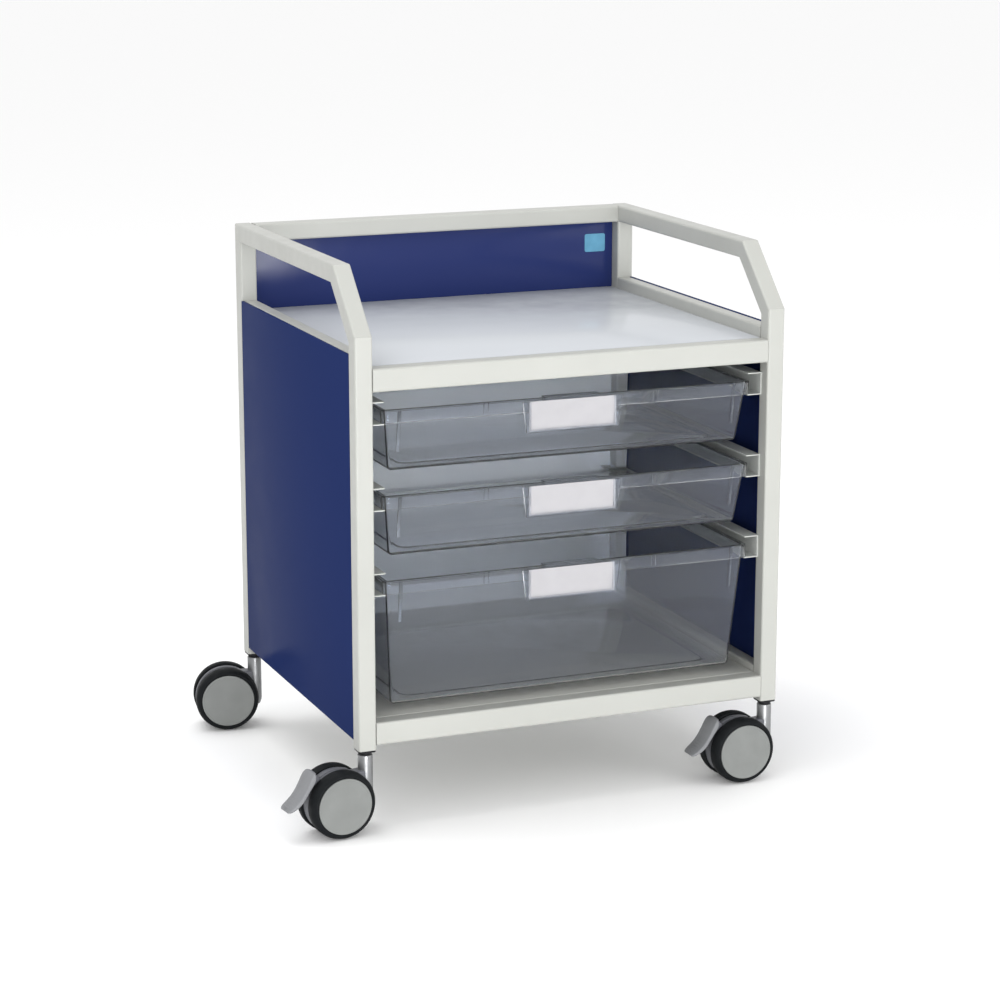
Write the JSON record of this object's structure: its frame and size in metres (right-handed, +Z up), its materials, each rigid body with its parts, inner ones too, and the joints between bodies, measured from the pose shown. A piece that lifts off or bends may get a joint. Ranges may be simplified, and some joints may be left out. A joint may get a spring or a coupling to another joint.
{
  "type": "bedside cabinet",
  "caption": "Wheeled bedside cabinet: white square-tube frame with side handle loops, blue panels, grey worktop, clear pull-out trays on side runners and swivel castors with brake pedals.",
  "frame": {"origin": "centre of the whole object's box, on the floor", "axes": "+X to the cabinet's right, +Y to its back, +Z up"},
  "size_m": [0.6502, 0.4662, 0.605],
  "materials": {
    "frame_white": "satin white powder coat",
    "laminate_grey": "gloss light grey laminate",
    "panel_navy": "smooth satin navy laminate",
    "runner_white": "off-white moulded plastic",
    "tray_clear": "clear moulded plastic with a slight smoky tint",
    "holder_clear": "clear plastic",
    "card_white": "matt white card",
    "plug_black": "black plastic plug with a steel stem",
    "castor_grey": "dark grey moulded plastic",
    "hub_grey": "mid grey moulded plastic",
    "pedal_grey": "mid grey moulded plastic",
    "tyre_black": "matt black rubber tread"
  },
  "bodies": {
    "cabinet": {"front_left_post": "frame_white", "left_handle": "frame_white", "back_left_post": "frame_white", "front_right_post": "frame_white", "right_handle": "frame_white", "back_right_post": "frame_white", "front_upper_rail": "frame_white", "front_lower_rail": "frame_white", "left_upper_rail": "frame_white", "left_lower_rail": "frame_white", "right_upper_rail": "frame_white", "right_lower_rail": "frame_white", "back_upper_rail": "frame_white", "worktop": "laminate_grey", "base_shelf": "frame_white", "left_panel": "panel_navy", "right_panel": "panel_navy", "lower_back_panel": "laminate_grey", "upper_back_panel": "panel_navy", "upper_left_runner": "runner_white", "upper_right_runner": "runner_white", "middle_left_runner": "runner_white", "middle_right_runner": "runner_white", "lower_left_runner": "runner_white", "lower_right_runner": "runner_white", "front_left_castor_plug": "plug_black", "front_right_castor_plug": "plug_black", "back_left_castor_plug": "plug_black", "back_right_castor_plug": "plug_black"},
    "upper_drawer": {"upper_tray": "tray_clear", "upper_label_holder": "holder_clear", "upper_label_card": "card_white"},
    "middle_drawer": {"middle_tray": "tray_clear", "middle_label_holder": "holder_clear", "middle_label_card": "card_white"},
    "lower_drawer": {"lower_tray": "tray_clear", "lower_label_holder": "holder_clear", "lower_label_card": "card_white"},
    "front_left_castor": {"front_left_castor_housing": "castor_grey"},
    "front_left_wheel_a": {"front_left_tyre_a": "tyre_black", "front_left_hub_a": "hub_grey"},
    "front_left_wheel_b": {"front_left_tyre_b": "tyre_black", "front_left_hub_b": "hub_grey"},
    "front_right_castor": {"front_right_castor_housing": "castor_grey"},
    "front_right_wheel_a": {"front_right_tyre_a": "tyre_black", "front_right_hub_a": "hub_grey"},
    "front_right_wheel_b": {"front_right_tyre_b": "tyre_black", "front_right_hub_b": "hub_grey"},
    "back_left_castor": {"back_left_castor_housing": "castor_grey"},
    "back_left_wheel_a": {"back_left_tyre_a": "tyre_black", "back_left_hub_a": "hub_grey"},
    "back_left_wheel_b": {"back_left_tyre_b": "tyre_black", "back_left_hub_b": "hub_grey"},
    "back_right_castor": {"back_right_castor_housing": "castor_grey"},
    "back_right_wheel_a": {"back_right_tyre_a": "tyre_black", "back_right_hub_a": "hub_grey"},
    "back_right_wheel_b": {"back_right_tyre_b": "tyre_black", "back_right_hub_b": "hub_grey"},
    "front_left_pedal": {"front_left_brake_pedal": "pedal_grey"},
    "front_right_pedal": {"front_right_brake_pedal": "pedal_grey"}
  },
  "joints": [
    {"name": "upper_drawer_slide", "type": "slide", "parent": "cabinet", "child": "upper_drawer", "axis": [0, -1, 0], "range_m": [0, 0.24]},
    {"name": "middle_drawer_slide", "type": "slide", "parent": "cabinet", "child": "middle_drawer", "axis": [0, -1, 0], "range_m": [0, 0.24]},
    {"name": "lower_drawer_slide", "type": "slide", "parent": "cabinet", "child": "lower_drawer", "axis": [0, -1, 0], "range_m": [0, 0.24]},
    {"name": "front_left_swivel", "type": "hinge", "parent": "cabinet", "child": "front_left_castor", "pos_m": [-0.22876, -0.20086, 0.09], "axis": [0, 0, 1], "continuous": true},
    {"name": "front_left_spin_a", "type": "hinge", "parent": "front_left_castor", "child": "front_left_wheel_a", "pos_m": [-0.26354, -0.20482, 0.0375], "axis": [0.1132, -0.9936, 0], "continuous": true},
    {"name": "front_left_spin_b", "type": "hinge", "parent": "front_left_castor", "child": "front_left_wheel_b", "pos_m": [-0.26354, -0.20482, 0.0375], "axis": [0.1132, -0.9936, 0], "continuous": true},
    {"name": "front_left_pedal_hinge", "type": "hinge", "parent": "front_left_castor", "child": "front_left_pedal", "pos_m": [-0.29179, -0.20804, 0.06908], "axis": [0.1132, -0.9936, 0], "range_deg": [0, 12]},
    {"name": "front_right_swivel", "type": "hinge", "parent": "cabinet", "child": "front_right_castor", "pos_m": [0.25124, -0.20086, 0.09], "axis": [0, 0, 1], "continuous": true},
    {"name": "front_right_spin_a", "type": "hinge", "parent": "front_right_castor", "child": "front_right_wheel_a", "pos_m": [0.21624, -0.20147, 0.0375], "axis": [0.0175, -0.9998, 0], "continuous": true},
    {"name": "front_right_spin_b", "type": "hinge", "parent": "front_right_castor", "child": "front_right_wheel_b", "pos_m": [0.21624, -0.20147, 0.0375], "axis": [0.0175, -0.9998, 0], "continuous": true},
    {"name": "front_right_pedal_hinge", "type": "hinge", "parent": "front_right_castor", "child": "front_right_pedal", "pos_m": [0.18781, -0.20197, 0.06908], "axis": [0.0175, -0.9998, 0], "range_deg": [0, 12]},
    {"name": "back_left_swivel", "type": "hinge", "parent": "cabinet", "child": "back_left_castor", "pos_m": [-0.22876, 0.19714, 0.09], "axis": [0, 0, 1], "continuous": true},
    {"name": "back_left_spin_a", "type": "hinge", "parent": "back_left_castor", "child": "back_left_wheel_a", "pos_m": [-0.26323, 0.20322, 0.0375], "axis": [-0.1736, -0.9848, 0], "continuous": true},
    {"name": "back_left_spin_b", "type": "hinge", "parent": "back_left_castor", "child": "back_left_wheel_b", "pos_m": [-0.26323, 0.20322, 0.0375], "axis": [-0.1736, -0.9848, 0], "continuous": true},
    {"name": "back_right_swivel", "type": "hinge", "parent": "cabinet", "child": "back_right_castor", "pos_m": [0.25124, 0.19714, 0.09], "axis": [0, 0, 1], "continuous": true},
    {"name": "back_right_spin_a", "type": "hinge", "parent": "back_right_castor", "child": "back_right_wheel_a", "pos_m": [0.28598, 0.2014, 0.0375], "axis": [-0.1219, 0.9925, 0], "continuous": true},
    {"name": "back_right_spin_b", "type": "hinge", "parent": "back_right_castor", "child": "back_right_wheel_b", "pos_m": [0.28598, 0.2014, 0.0375], "axis": [-0.1219, 0.9925, 0], "continuous": true}
  ]
}
